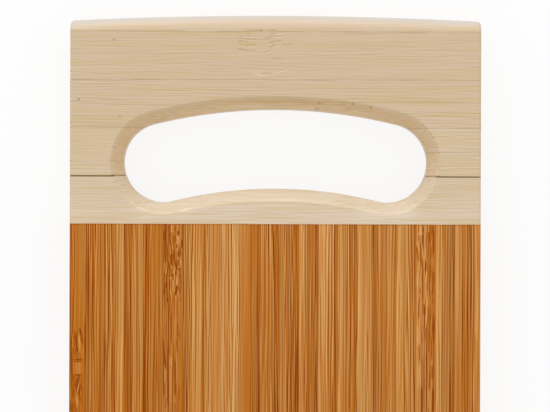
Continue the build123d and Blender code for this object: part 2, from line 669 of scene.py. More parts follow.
class ColourEffect(SharedEffect):
    """Colours a place by its tone, and leans its hue to a rich or a dull side."""

    name = "Bamboo colour"
    takes = {
        "Tone": FLOAT, "Hue": FLOAT, "Cast": FLOAT, "Dark": COLOUR, "Middle": COLOUR, "Light": COLOUR,
        "Rich": COLOUR, "Dull": COLOUR, "Hue Share": FLOAT,
    }
    gives = {"Colour": COLOUR}

    halfway = 0.5

    @classmethod
    def write(cls, writer: NodeWriter, given: bpy.types.NodeOutputs) -> Dict[str, Socket]:
        """Writes the passage dark, middle, light and the two leanings.

        Args:
            writer: The group's writer.
            given: What the group takes.

        Returns:
            What the group gives, by label.
        """
        deep = writer.spread(given["Tone"], 0.0, cls.halfway, 0.0, 1.0)
        pale = writer.spread(given["Tone"], cls.halfway, 1.0, 0.0, 1.0)
        body = writer.tint(pale, writer.tint(deep, given["Dark"], given["Middle"]), given["Light"])
        hue = writer.math("ADD", given["Hue"], given["Cast"])
        rich = writer.math("MULTIPLY", writer.ease(hue, 0.0, 1.0), given["Hue Share"])
        dull = writer.math("MULTIPLY", writer.ease(hue, 0.0, -1.0), given["Hue Share"])
        warm = writer.tint(rich, body, given["Rich"])
        return {"Colour": writer.tint(dull, warm, given["Dull"])}


class CutEffect(SharedEffect):
    """How far a place lies under the face of its strip, and how squarely its surface cuts the strands."""

    name = "Cut of the surface"
    takes = {
        "Place": VECTOR, "Strands": FLOAT, "Ragged": FLOAT, "Half Through": FLOAT, "Face": FLOAT,
        "Normal": VECTOR, "Axis": VECTOR,
    }
    gives = {"Under": FLOAT, "Raw": FLOAT}

    first_depth = 0.3
    full_depth = 1.5
    slope_share = 0.3
    first_slant = 0.35
    full_slant = 0.8

    @classmethod
    def write(cls, writer: NodeWriter, given: bpy.types.NodeOutputs) -> Dict[str, Socket]:
        """Measures the depth below the face that shows, ragged by the strands, and the slant of the cut.

        Args:
            writer: The group's writer.
            given: What the group takes.

        Returns:
            What the group gives, by label.
        """
        _, _, through = writer.separate(given["Place"])
        height = writer.math("MULTIPLY", through, given["Face"])
        depth = writer.math("SUBTRACT", given["Half Through"], height)
        torn = writer.math("MULTIPLY_ADD", given["Strands"], given["Ragged"], depth)
        under = writer.ease(torn, cls.first_depth, cls.full_depth)
        slant = writer.math("ABSOLUTE", writer.measure("DOT_PRODUCT", given["Normal"], given["Axis"]))
        ends = writer.ease(slant, cls.first_slant, cls.full_slant)
        part = writer.math("MULTIPLY", under, cls.slope_share)
        return {"Under": under, "Raw": writer.math("MAXIMUM", part, ends)}


class SeamEffect(SharedEffect):
    """The thin dark line of glue along both edges of a strip."""

    name = "Glue seam"
    takes = {"Place": VECTOR, "Seed": FLOAT, "Half Across": FLOAT, "Width": FLOAT}
    gives = {"Seam": FLOAT}

    patch_length = 11.0
    patch_range = (0.35, 0.65)
    faintest = 0.25

    @classmethod
    def write(cls, writer: NodeWriter, given: bpy.types.NodeOutputs) -> Dict[str, Socket]:
        """Writes the fade from each edge, stronger and weaker along its run.

        Args:
            writer: The group's writer.
            given: What the group takes.

        Returns:
            What the group gives, by label.
        """
        across, along, through = writer.separate(given["Place"])
        inside = writer.math("SUBTRACT", given["Half Across"], writer.math("ABSOLUTE", across))
        line = writer.ease(inside, 0.0, given["Width"], 1.0, 0.0)
        side = writer.math("ADD", writer.math("SIGN", across), given["Seed"])
        patch = writer.combine(side, writer.math("DIVIDE", along, cls.patch_length), through)
        uneven = writer.spread(writer.noise(patch), *cls.patch_range, cls.faintest, 1.0)
        return {"Seam": writer.math("MULTIPLY", line, uneven)}


class PinEffect(SharedEffect):
    """One dark pinprick or stain."""

    name = "Pinprick"
    takes = {"Place": VECTOR, "Middle": VECTOR, "Reach": VECTOR, "Strength": FLOAT}
    gives = {"Pin": FLOAT}

    @classmethod
    def write(cls, writer: NodeWriter, given: bpy.types.NodeOutputs) -> Dict[str, Socket]:
        """Writes a small soft spot.

        Args:
            writer: The group's writer.
            given: What the group takes.

        Returns:
            What the group gives, by label.
        """
        away = writer.vector("SUBTRACT", given["Place"], given["Middle"])
        distance = writer.measure("LENGTH", writer.vector("DIVIDE", away, given["Reach"]))
        return {"Pin": writer.math("MULTIPLY", writer.bell(distance), given["Strength"])}


class SpeckEffect(SharedEffect):
    """Sparse dark specks, where a pore or a splinter has taken dirt."""

    name = "Dark specks"
    takes = {"Place": VECTOR, "Seed": FLOAT, "Spacing": FLOAT, "Size": FLOAT}
    gives = {"Specks": FLOAT}

    seed_step = (1.0, 3.1, 1.0)
    rarity = 0.35
    core_share = 0.4

    @classmethod
    def write(cls, writer: NodeWriter, given: bpy.types.NodeOutputs) -> Dict[str, Socket]:
        """Writes one small spot in each cell, of its own size, and none in some.

        Args:
            writer: The group's writer.
            given: What the group takes.

        Returns:
            What the group gives, by label.
        """
        shift = writer.combine(*[writer.math("MULTIPLY", given["Seed"], step) for step in cls.seed_step])
        moved = writer.vector("ADD", writer.vector("DIVIDE", given["Place"], given["Spacing"]), shift)
        cells = writer.add("ShaderNodeTexVoronoi", {"Vector": moved, "Scale": 1.0}, feature="F1")
        away = writer.math("MULTIPLY", cells.outputs["Distance"], given["Spacing"])
        own = writer.separate(cells.outputs["Color"])[0]
        size = writer.math("MULTIPLY", given["Size"], writer.spread(own, cls.rarity, 1.0, 0.0, 1.0))
        core = writer.math("MULTIPLY", size, cls.core_share)
        return {"Specks": writer.ease(away, core, size, 1.0, 0.0)}


@dataclass(frozen=True)
class BambooFinish:
    """One kind of bamboo: its colours, the size of its strands and how it shines."""

    name: str
    dark: Colour
    middle: Colour
    light: Colour
    rich: Colour
    dull: Colour
    seam: Colour
    hue_share: float
    strand_width: float
    strand_run: float
    drift: float
    contrast: float
    cut_contrast: float
    bundling: float
    seam_width: float
    seam_share: float
    rough_low: float
    rough_high: float
    bump: float
    gloss: float
    lift: float = 0.0
    pin: Colour = shade(74, 48, 20)
    speck_spacing: float = 14.0
    speck_size: float = 0.32
    speck_share: float = 0.5
    strand_relief: float = 0.05 * MM
    polish_range: Tuple[float, float] = (0.2, 0.9)
    refraction: float = 1.5

    def material(self, name: str, seed: float, place: StripPlace, look: StripLook) -> bpy.types.Material:
        """Makes the bamboo of one strip.

        Args:
            name: The strip's name.
            seed: Sets its strands apart from every other strip's.
            place: Where the strip lies.
            look: What sets it apart from its neighbours.

        Returns:
            The material.
        """
        material = bpy.data.materials.new(f"{self.name}_{name}")
        writer = NodeWriter.blank(material)
        here = self.strip_frame(writer, place)
        knot = self.knots(writer, here, look)
        strands = StrandEffect.place(writer, {
            "Place": here, "Seed": seed, "Width": self.strand_width, "Run": self.strand_run,
            "Drift": self.drift, "Knot": knot,
        })
        along_board = place.grain is Grain.ALONG_BOARD
        cut = CutEffect.place(writer, {
            "Place": here, "Strands": strands["Strands"], "Ragged": look.ragged,
            "Half Through": place.half_through, "Face": float(place.face),
            "Normal": writer.add("ShaderNodeNewGeometry").outputs["True Normal"],
            "Axis": (0.0, 1.0, 0.0) if along_board else (1.0, 0.0, 0.0),
        })
        toned = ToneEffect.place(writer, {
            "Strands": strands["Strands"], "Bundles": strands["Bundles"], "Broad": strands["Broad"],
            "Skinward": self.skinward(writer, here, place, look), "Knot": knot, "Raw": cut["Raw"],
            "Veins": self.veins(writer, strands["Settled"], seed, look),
            "Marks": self.marks(writer, here, look),
            "Base": look.tone.value + self.lift, "Lean": look.lean, "Figure": look.figure.value,
            "Contrast": self.contrast, "Cut Contrast": self.cut_contrast, "Bundling": self.bundling,
        })
        colour = ColourEffect.place(writer, {
            "Tone": toned["Tone"], "Hue": strands["Hue"], "Cast": look.cast.value,
            "Dark": self.stained(self.dark, look), "Middle": self.stained(self.middle, look),
            "Light": self.stained(self.light, look), "Rich": self.stained(self.rich, look),
            "Dull": self.stained(self.dull, look), "Hue Share": self.hue_share,
        })["Colour"]
        # Colour under the face: wood laid bare by a cut, and on some bevels and roundovers painted shade or
        # sheen.
        heart_and_edge_light, heart_and_edge_light_share = look.heart_and_edge_light.value
        colour = writer.tint(writer.math("MULTIPLY", cut["Under"], heart_and_edge_light_share), colour, heart_and_edge_light)
        seam = SeamEffect.place(writer, {
            "Place": here, "Seed": seed, "Half Across": place.half_across, "Width": self.seam_width,
        })["Seam"]
        colour = writer.tint(writer.math("MULTIPLY", seam, self.seam_share), colour, self.seam)
        specks = SpeckEffect.place(writer, {
            "Place": here, "Seed": seed, "Spacing": self.speck_spacing, "Size": self.speck_size,
        })["Specks"]
        colour = writer.tint(writer.math("MULTIPLY", specks, self.speck_share), colour, self.seam)
        colour = self.pins(writer, here, colour, look)
        self.shine(writer, colour, toned["Tone"], toned["Height"])
        return material

    def strip_frame(self, writer: NodeWriter, place: StripPlace) -> Socket:
        """Turns object coordinates into the strip's own frame, in millimetres.

        Args:
            writer: The material's writer.
            place: Where the strip lies.

        Returns:
            The place across, along and through the strip.
        """
        middle = place.middle
        turned = middle if place.grain is Grain.ALONG_BOARD else Vector((middle.y, -middle.x, middle.z))
        source = writer.add("ShaderNodeTexCoord").outputs["Object"]
        mapping = writer.add("ShaderNodeMapping", {
            "Vector": source,
            "Location": tuple(-turned),
            "Rotation": (0.0, 0.0, place.grain.value),
            "Scale": (1 / MM, 1 / MM, 1 / MM),
        })
        return mapping.outputs[0]

    @staticmethod
    def stained(colour: Colour, look: StripLook) -> Colour:
        """A colour of the finish as a strip's stain leaves it."""
        red, green, blue = look.stain.value
        return (colour[0] * red, colour[1] * green, colour[2] * blue, colour[3])

    @staticmethod
    def skinward(writer: NodeWriter, here: Socket, place: StripPlace, look: StripLook) -> Socket:
        """How far a place lies towards the skin side, from -1 to 1."""
        across, _, _ = writer.separate(here)
        return writer.math("MULTIPLY", across, look.skin.value / place.half_across)

    @staticmethod
    def knots(writer: NodeWriter, here: Socket, look: StripLook) -> Feed:
        """Finds the strongest of a strip's knots at each place.

        Args:
            writer: The material's writer.
            here: The place in the strip's frame.
            look: What sets the strip apart.

        Returns:
            How far the place lies inside a knot, or 0 on a strip without one.
        """
        strongest: Feed = 0.0
        for knot in look.knots:
            reach = KnotEffect.place(writer, {
                "Place": here,
                "Middle": (knot.across, knot.along, 0.0),
                "Reach": (knot.half_width, knot.half_length, THROUGH),
            })["Knot"]
            strongest = writer.math("MAXIMUM", strongest, reach)
        return strongest

    @staticmethod
    def veins(writer: NodeWriter, settled: Socket, seed: float, look: StripLook) -> Feed:
        """Adds up a strip's dark veins at each place.

        Args:
            writer: The material's writer.
            settled: The place in the strip's frame, with the strands' drift.
            seed: Sets the strip's veins apart.
            look: What sets the strip apart.

        Returns:
            Their sum, or 0 on a strip without veins.
        """
        total: Feed = 0.0
        for vein in look.veins:
            line = VeinEffect.place(writer, {
                "Settled": settled, "Seed": seed, "Across": vein.across, "Width": vein.width,
                "Along": vein.along, "Reach": vein.reach, "Strength": vein.strength,
            })["Vein"]
            total = writer.math("ADD", total, line)
        return total

    @staticmethod
    def marks(writer: NodeWriter, here: Socket, look: StripLook) -> Feed:
        """Adds up a strip's streaks at each place.

        Args:
            writer: The material's writer.
            here: The place in the strip's frame.
            look: What sets the strip apart.

        Returns:
            Their sum, or 0 on a strip without streaks.
        """
        total: Feed = 0.0
        for mark in look.marks:
            lean, rise = math.sin(math.radians(mark.turn)), math.cos(math.radians(mark.turn))
            streak = MarkEffect.place(writer, {
                "Place": here, "Middle": (mark.across, mark.along, 0.0), "Side": (rise, -lean, 0.0),
                "Run": (lean, rise, 0.0), "Half Length": mark.half_length, "Half Width": mark.half_width,
                "Bow": mark.bow, "Strength": mark.strength,
            })["Mark"]
            total = writer.math("ADD", total, streak)
        return total

    def pins(self, writer: NodeWriter, here: Socket, colour: Socket, look: StripLook) -> Socket:
        """Lays a strip's pinpricks over its colour.

        Args:
            writer: The material's writer.
            here: The place in the strip's frame.
            colour: The bamboo's colour so far.
            look: What sets the strip apart.

        Returns:
            The colour with the pinpricks.
        """
        for pin in look.pins:
            spot = PinEffect.place(writer, {
                "Place": here, "Middle": (pin.across, pin.along, 0.0),
                "Reach": (pin.size, pin.length, THROUGH), "Strength": pin.strength,
            })["Pin"]
            colour = writer.tint(spot, colour, self.pin)
        return colour

    def shine(self, writer: NodeWriter, colour: Socket, tone: Socket, height: Socket) -> None:
        """Adds the shader: a satin surface, with strands that stand a little proud.

        Args:
            writer: The material's writer.
            colour: The bamboo's colour.
            tone: Its tone. Dense dark strands polish better than the pale pith.
            height: How high the strands stand.
        """
        rough = writer.spread(tone, *self.polish_range, self.rough_low, self.rough_high)
        bump = writer.add("ShaderNodeBump", {
            "Strength": self.bump, "Distance": self.strand_relief, "Height": height,
        })
        shader = writer.add("ShaderNodeBsdfPrincipled", {
            "Base Color": colour, "Roughness": rough, "Normal": bump.outputs[0],
            "IOR": self.refraction, "Specular IOR Level": self.gloss,
        })
        writer.add("ShaderNodeOutputMaterial", {"Surface": shader.outputs[0]})


CARAMEL_BAMBOO = BambooFinish(
    name="caramel_bamboo",
    dark=shade(138, 60, 0),
    middle=shade(189, 117, 44),
    light=shade(227, 175, 110),
    rich=shade(194, 112, 30),
    dull=shade(180, 122, 64),
    seam=shade(96, 46, 12),
    hue_share=0.45,
    strand_width=0.5,
    strand_run=50.0,
    drift=0.15,
    contrast=1.0,
    cut_contrast=1.0,
    bundling=1.0,
    seam_width=0.16,
    seam_share=0.35,
    rough_low=0.42,
    rough_high=0.56,
    bump=0.3,
    gloss=0.04,
    lift=0.03,
)

NATURAL_BAMBOO = BambooFinish(
    name="natural_bamboo",
    dark=shade(184, 154, 108),
    middle=shade(211, 187, 155),
    light=shade(233, 216, 194),
    rich=shade(208, 181, 130),
    dull=shade(216, 186, 158),
    seam=shade(164, 126, 70),
    hue_share=0.4,
    strand_width=0.5,
    strand_run=28.0,
    drift=0.1,
    contrast=0.38,
    cut_contrast=1.0,
    bundling=0.4,
    seam_width=0.3,
    seam_share=0.7,
    rough_low=0.42,
    rough_high=0.5,
    bump=0.22,
    gloss=0.4,
)


def veins(*places: float) -> Tuple[Vein, ...]:
    """Plain dark veins at these places across a strip."""
    return tuple(Vein(place) for place in places)


@dataclass
class DarkField:
    """The dark working field: strips on edge, from the left side of the board to the right.

    It turns paler towards the handle, and a thin line of glue shades its end at the joint there.
    Both marks are placed from the joint line.
    """

    prefix: str = "field_strip_"
    finish: BambooFinish = CARAMEL_BAMBOO
    strong: float = 0.24
    middling: float = 0.17
    slight: float = 0.09
    beyond_joint: str = "handle_face_lower_strip"
    # Paler towards the handle: a broad pale streak over the upper end of every strip.
    paler_near_handle: Mark = Mark(0.0, 0.0, half_length=60.0, strength=-0.13, half_width=100.0)
    glued: Mark = Mark(0.0, -0.2, half_length=30.0, turn=90.0, strength=0.5)
    node_dark: float = 1.25
    node_pale: float = 0.9
    first_seed: float = 1.0

    @staticmethod
    def churned() -> Tuple[Mark, ...]:
        """Streaks round the node that crosses the sixth strip, from the top down.

        Returns:
            Dark streaks, then pale ones, then the lines below the node.
        """
        dark = (
            Mark(-1.0, 38.9, 4.9, 0, 1.1), Mark(0.9, 40.9, 1.1, 0, 1.2), Mark(2.0, 39.1, 1.2, 0, 1.7),
            Mark(-3.2, 38.3, 2.4, 0, 0.5), Mark(-2.5, 34.0, 6.8, 0, 0.9, 0.14),
            Mark(-1.7, 34.6, 5.0, 0, 0.9, 0.14), Mark(1.1, 37.0, 1.5, 0, 1.1),
            Mark(0.2, 36.6, 2.0, 0, 0.95), Mark(3.4, 35.2, 2.0, -3, 1.4), Mark(1.5, 34.4, 0.9, 0, 1.4),
            Mark(2.8, 32.5, 1.9, -12, 1.4), Mark(2.1, 31.4, 1.2, -6, 1.4), Mark(0.5, 31.2, 2.2, -6, 1.2),
            Mark(0.7, 29.2, 2.8, -13, 1.55, 0.3), Mark(-0.6, 29.4, 3.0, -9, 1.4),
            Mark(2.3, 28.2, 1.6, -8, 1.2), Mark(-1.2, 27.2, 1.5, -3, 2.15, 0.29),
            Mark(-1.0, 25.4, 1.2, 0, 1.1), Mark(1.9, 26.0, 1.8, -49, 0.95, 0.15),
            Mark(2.7, 24.8, 1.9, -4, 1.4), Mark(1.3, 24.6, 1.1, -5, 1.55), Mark(-1.8, 24.4, 1.1, 0, 1.2),
            Mark(-0.5, 23.4, 0.8, 84, 1.4, 0.17), Mark(0.2, 23.0, 1.4, 0, 1.9),
            Mark(3.0, 22.0, 2.7, -3, 1.55), Mark(-1.0, 20.3, 1.6, 0, 1.2), Mark(-2.4, 20.0, 1.1, 0, 1.2),
            Mark(1.4, 18.1, 2.2, 9, 2.05, 0.26), Mark(2.8, 18.1, 1.9, 5, 1.4),
            Mark(-2.9, 18.0, 1.8, 2, 1.2), Mark(-1.8, 14.5, 1.2, 4, 1.2), Mark(3.0, 14.7, 0.9, 0, 1.1),
            Mark(-1.2, 9.4, 4.1, 4, 0.95),
        )
        pale = (
            Mark(-2.1, 34.4, 6.0, 0, -0.7, 0.18), Mark(-1.4, 36.4, 5.0, 0, -0.5, 0.16),
            Mark(-0.2, 40.8, 2.0, 0, -0.7, 0.5), Mark(-0.4, 37.2, 2.0, 0, -0.4, 0.3),
            Mark(2.2, 36.8, 2.5, -2, -0.8, 0.5), Mark(2.1, 34.0, 1.2, -5, -0.6),
            Mark(-0.8, 30.6, 2.1, -10, -0.6, 0.2), Mark(2.9, 28.4, 1.6, -6, -1.0),
            Mark(-0.3, 27.1, 1.4, -6, -1.0), Mark(-2.7, 26.4, 2.5, 0, -0.55, 0.5),
            Mark(-2.1, 24.3, 1.0, 0, -1.0), Mark(0.8, 23.9, 2.5, 2, -0.95, 0.22),
            Mark(-0.4, 22.7, 1.0, 0, -1.0, 0.3), Mark(1.9, 21.0, 1.8, 0, -0.4, 0.4),
            Mark(0.1, 19.2, 4.0, 5, -0.45, 0.6), Mark(2.2, 17.2, 1.2, 5, -0.6),
        )
        below = (
            Mark(-1.4, 5.5, 6.5, -1, 0.9), Mark(-0.4, 4.0, 7.0, 0, 0.8), Mark(1.9, 3.4, 3.2, 3, 0.9),
            Mark(2.6, 1.8, 2.2, 0, 0.6), Mark(1.7, -2.2, 3.0, -5, 0.6), Mark(-1.2, -3.0, 3.5, -4, 0.8),
            Mark(-2.9, -5.5, 7.0, -6, 1.2, 0.3), Mark(1.1, -11.5, 4.6, -1, 1.0),
            Mark(-2.9, -18.5, 3.4, 0, 0.9), Mark(1.4, -18.5, 3.4, 0, 0.6), Mark(2.6, -19.8, 3.2, 0, 1.0),
            Mark(-2.3, -23.5, 2.2, 8, 0.9), Mark(0.7, 2.5, 7.0, 0, -0.3, 0.6),
            Mark(-2.5, 8.5, 4.0, 0, -0.3, 0.4), Mark(-0.4, -8.2, 2.0, 0, -0.6),
            Mark(1.9, -13.0, 10.0, -2, -0.4, 0.4), Mark(1.0, -21.8, 2.4, 0, -0.6, 0.3),
        )
        return dark + pale + below

    @staticmethod
    def split() -> Tuple[Mark, ...]:
        """Long leaning streaks where a node parts the strands of the nineteenth strip.

        Returns:
            Dark streaks, then pale ones, then the lines below the node.
        """
        dark = (
            Mark(-2.6, 41.0, 1.4, 0, 1.1), Mark(-1.1, 40.8, 1.4, 0, 1.2), Mark(2.3, 40.3, 2.0, 0, 1.4),
            Mark(-2.6, 37.6, 1.4, 0, 0.95), Mark(-1.1, 37.2, 2.0, 0, 1.55, 0.26),
            Mark(1.1, 37.8, 2.7, 0, 1.4), Mark(2.9, 36.2, 5.4, 0, 1.4), Mark(-2.0, 34.4, 2.3, -4, 1.2),
            Mark(-3.1, 31.9, 3.5, -8, 1.4), Mark(0.8, 32.1, 3.8, 0, 1.2), Mark(-1.6, 28.9, 5.1, -8, 1.4),
            Mark(0.0, 27.2, 2.0, 0, 1.9), Mark(1.5, 25.4, 3.1, 0, 1.2, 0.3), Mark(-1.1, 21.0, 7.0, 0, 1.55),
            Mark(2.9, 22.8, 2.8, 0, 1.4), Mark(1.4, 19.4, 4.1, 0, 1.55),
            Mark(2.5, 18.6, 2.6, 0, 0.75, 0.34), Mark(-2.1, 18.1, 1.8, 0, 0.95),
            Mark(2.5, 14.4, 1.5, 0, 0.95), Mark(-2.5, 12.0, 5.0, 3, 1.1), Mark(-0.7, 11.4, 2.6, -3, 0.7),
            Mark(-0.3, 6.0, 8.0, -1, 0.9), Mark(1.3, 5.0, 8.0, 0, 0.5, 0.45),
            Mark(2.8, 4.4, 7.0, 0, 0.7, 0.4),
        )
        pale = (
            Mark(-2.0, 40.2, 2.0, 0, -0.6, 0.35), Mark(1.5, 39.8, 2.0, 0, -0.6),
            Mark(-2.8, 34.6, 2.2, -9, -0.7), Mark(2.0, 35.6, 1.5, -3, -0.6),
            Mark(-0.6, 32.2, 2.8, 0, -0.4, 0.5), Mark(2.3, 28.2, 3.0, 0, -0.55, 0.35),
            Mark(-0.2, 22.8, 2.4, 0, -0.4, 0.4), Mark(-3.2, 22.0, 3.0, 0, -0.4, 0.4),
            Mark(1.8, 19.6, 1.6, 0, -0.8), Mark(0.9, 15.4, 3.8, 0, -0.4, 0.8),
            Mark(0.4, 7.0, 3.2, 0, -0.25, 0.4),
        )
        below = (
            Mark(1.2, -2.3, 2.8, 0, 1.0), Mark(2.2, -3.2, 5.0, 0, 1.0), Mark(-2.2, -4.6, 4.0, 0, 0.9),
            Mark(0.3, -8.0, 3.8, 0, 0.6), Mark(2.4, -12.0, 3.2, 0, 0.5, 0.4), Mark(1.5, -15.2, 3.6, 0, 1.1),
            Mark(-0.4, -16.3, 2.6, 0, 0.6), Mark(-1.2, -22.5, 6.0, 0, 0.9, 0.35),
            Mark(0.4, -22.0, 6.0, 0, 0.9), Mark(2.8, -22.5, 5.5, 0, 0.9, 0.4),
            Mark(-2.9, 1.5, 4.5, 0, -0.4, 0.4), Mark(-1.2, -4.0, 4.0, 0, -0.4, 0.4),
            Mark(-2.2, -13.5, 5.0, 0, -0.4, 0.5), Mark(1.4, -22.0, 5.0, 0, -0.4, 0.6),
        )
        return dark + pale + below

    @staticmethod
    def ringed() -> Tuple[Mark, ...]:
        """Plain amber ring of a node on the first strip, between cross lines, with leaning streaks beyond.

        Returns:
            Dark streaks, then pale ones with the ring first.
        """
        dark = (
            Mark(2.4, 1.2, 3.2, -12, 1.95, 0.24), Mark(0.5, -1.0, 4.7, -8, 1.45, 0.26),
            Mark(-1.4, -3.2, 4.3, -5, 1.45), Mark(-1.1, -8.6, 5.9, -2, 2.25, 0.29),
            Mark(2.0, -7.7, 1.2, 90, 1.75, 0.19), Mark(0.3, -7.7, 1.4, 90, 1.1, 0.17),
            Mark(1.0, -8.4, 2.4, 90, 0.65, 0.17), Mark(1.4, -13.3, 1.6, 88, 1.45, 0.22),
            Mark(1.1, -15.8, 2.6, 13, 2.4, 0.26), Mark(-0.5, -15.3, 2.6, 0, 1.25),
            Mark(2.0, -17.8, 1.2, 5, 2.25, 0.29), Mark(0.6, -18.4, 1.4, 6, 1.25),
            Mark(1.8, -19.2, 1.6, 12, 1.6), Mark(2.8, -19.2, 1.6, 6, 1.45),
            Mark(-0.5, -19.2, 3.2, 8, 1.95, 0.26), Mark(2.0, -21.4, 1.1, 12, 1.1),
            Mark(-0.1, -24.0, 3.9, 0, 1.45), Mark(-1.4, -24.6, 2.4, 0, 0.75),
        )
        pale = (
            Mark(0.9, -10.8, 3.6, 0, -0.4, 2.3), Mark(1.6, -2.0, 4.2, -5, -0.4, 0.8),
            Mark(-1.6, -6.4, 3.2, 0, -0.7, 0.2), Mark(3.0, -5.0, 3.0, 0, -0.4, 0.3),
            Mark(1.3, -18.0, 1.8, 15, -1.0, 0.2), Mark(2.4, -20.1, 1.9, 12, -0.85, 0.2),
            Mark(-0.4, -22.6, 1.8, 5, -0.85, 0.2), Mark(0.8, -23.4, 3.2, 0, -0.4, 0.6),
        )
        return dark + pale

    def upset(self, marks: Tuple[Mark, ...]) -> Tuple[Mark, ...]:
        """A node's streaks, as strongly as they stand out in the field."""
        weights = [self.node_dark if mark.strength > 0 else self.node_pale for mark in marks]
        return tuple(replace(mark, strength=mark.strength * weight) for mark, weight in zip(marks, weights))

    def looks(self) -> List[StripLook]:
        """What each strip looks like, from left to right.

        Returns:
            One look for each strip.
        """
        strong, middling, slight = self.strong, self.middling, self.slight
        band = 0.75
        faint_pair = (Vein(-0.4, 0.4), Vein(3.4, 0.7))
        bold_and_short = (Vein(3.1, 1.4), Vein(0.4, 0.8, 0.4, -13.0, 18.0))
        left, right, even = Skin.LEFT, Skin.RIGHT, Skin.EVEN
        quiet, plain, bold = Figure.QUIET, Figure.PLAIN, Figure.BOLD
        one_node = (Knot(0.0, 25.6, 4.4, 17.0),)
        two_nodes = (Knot(-0.4, 31.0, 4.2, 12.0), Knot(0.8, 8.0, 3.6, 10.0))
        ring = (Knot(0.6, -20.0, 4.0, 7.0), Knot(0.6, -2.0, 3.6, 6.0))
        ringed, churned, split = map(self.upset, (self.ringed(), self.churned(), self.split()))
        looks = [
            StripLook(Tone.RUSSET, left, slight, quiet, veins(-1.8), ring, ringed),
            StripLook(Tone.CARAMEL, left, slight, bold, veins(-3.2, -2.4, -0.7, 2.3)),
            StripLook(Tone.HONEY, left, strong, bold, (Vein(0.3, 0.5), *veins(-3.4, -2.3, -0.4))),
            StripLook(Tone.AMBER, left, slight, plain, (Vein(-2.9, 0.8, band), *veins(-1.0, 1.2))),
            StripLook(Tone.RUSSET, left, slight, plain, (Vein(-2.8, 0.9, band), *veins(0.7, 2.5))),
            StripLook(Tone.CARAMEL, left, slight, plain, veins(-3.5, -1.2), one_node, churned),
            StripLook(Tone.STRAW, left, strong, bold, (*faint_pair, *veins(-3.4, -2.7, -1.6))),
            StripLook(Tone.STRAW, left, slight, quiet, (Vein(-3.0, 1.4, 0.6), *veins(2.7, 3.4))),
            StripLook(Tone.FLAXEN, even, 0.0, bold, veins(-0.8, 0.3, 1.9, 3.2)),
            StripLook(Tone.AMBER, right, slight, quiet, (Vein(2.9, 0.7, band), *veins(0.1))),
            StripLook(Tone.GINGER, right, slight, bold, (Vein(2.9, 0.9, band), *veins(-1.9, -0.5, 1.8))),
            StripLook(Tone.CARAMEL, right, middling, bold, (Vein(2.4, 1.5), *veins(-2.5, -0.6, 0.8, 3.2))),
            StripLook(Tone.CARAMEL, right, strong, bold, (Vein(2.9, 0.9, band), *veins(-1.6, -0.4, 1.4))),
            StripLook(Tone.STRAW, right, middling, bold, (Vein(2.8, 1.2, band), *veins(1.2))),
            StripLook(Tone.HONEY, right, middling, bold, (Vein(2.5, 1.5), *veins(-1.6, -0.8, 1.2, 3.0))),
            StripLook(Tone.HONEY, right, middling, plain, (*bold_and_short, *veins(2.3))),
            StripLook(Tone.GINGER, even, 0.0, quiet, veins(-1.9, -0.3, 3.2)),
            StripLook(Tone.STRAW, right, middling, plain, veins(-0.6, 1.6, 3.1)),
            StripLook(Tone.HONEY, right, slight, plain, veins(-1.2, 1.4, 2.9), two_nodes, split),
            StripLook(Tone.GINGER, right, strong, bold, (Vein(2.0, 1.6), *veins(-0.6, 0.7, 3.1))),
            StripLook(Tone.GINGER, right, middling, bold, (Vein(-0.8, 1.4), Vein(2.1, 1.4), *veins(-2.3))),
            StripLook(Tone.STRAW, right, slight, plain, (Vein(-3.2, 1.2, 0.3, -14.0, 18.0), *veins(-2.1))),
        ]
        strips = {Stain.RICH: (1, 2, 5), Stain.WARM: (3, 4, 7, 18, 22), Stain.TAN: (8, 14, 15, 16)}
        stains = {number: stain for stain, numbers in strips.items() for number in numbers}
        return [
            replace(look, stain=stains.get(number, Stain.EVEN)) for number, look in enumerate(looks, start=1)
        ]

    def middles(self, names: List[str]) -> List[float]:
        """The middle of each strip as it was before the glued field was ripped to width, in millimetres.

        Args:
            names: The strips, from left to right.

        Returns:
            One place for each strip.
        """
        edges = [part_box(name)[0].x for name in names[1:]]
        pitch = edges[1] - edges[0]
        return [(edge - pitch / 2) / MM for edge in (*edges, edges[-1] + pitch)]

    def dress(self) -> None:
        """Gives every strip its own bamboo."""
        names = sorted(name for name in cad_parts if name.startswith(self.prefix))
        low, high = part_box(names[1])
        half_across = (high.x - low.x) / 2 / MM
        half_through = (high.z - low.z) / 2 / MM
        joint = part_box(self.beyond_joint)[0].y / MM
        joint_marks = tuple(replace(mark, along=joint + mark.along) for mark in (self.paler_near_handle, self.glued))
        for number, (name, middle, look) in enumerate(zip(names, self.middles(names), self.looks())):
            centre = Vector((middle, 0.0, half_through))
            place = StripPlace(centre, half_across, half_through, Grain.ALONG_BOARD)
            marked_look = replace(look, marks=look.marks + joint_marks)
            material = self.finish.material(name, self.first_seed + number, place, marked_look)
            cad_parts[name].material_slots[0].material = material
            LOG.info("dressed %s as %s", name, look.tone.name.lower())


@dataclass
class PaleBar:
    """A pale cross-grained bar at one end of the board, in three plies of flat strips."""

    prefix: str
    first_seed: float
    looks: Dict[str, StripLook] = field(default_factory=dict)
    finish: BambooFinish = NATURAL_BAMBOO

    def dress(self) -> None:
        """Gives every strip of the bar its own bamboo."""
        names = sorted(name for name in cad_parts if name.startswith(self.prefix))
        plain = StripLook(Tone.GINGER, heart_and_edge_light=HeartAndEdgeLight.TAN)
        for number, name in enumerate(names):
            low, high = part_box(name)
            middle = (low + high) / 2 / MM
            middle.x = 0.0
            half = (high - low) / 2 / MM
            face = -1 if "_back_" in name else 1
            place = StripPlace(middle, half.y, half.z, Grain.ACROSS_BOARD, face)
            look = self.looks.get(name, plain)
            material = self.finish.material(name, self.first_seed + number, place, look)
            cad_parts[name].material_slots[0].material = material
            LOG.info("dressed %s as %s", name, look.tone.name.lower())


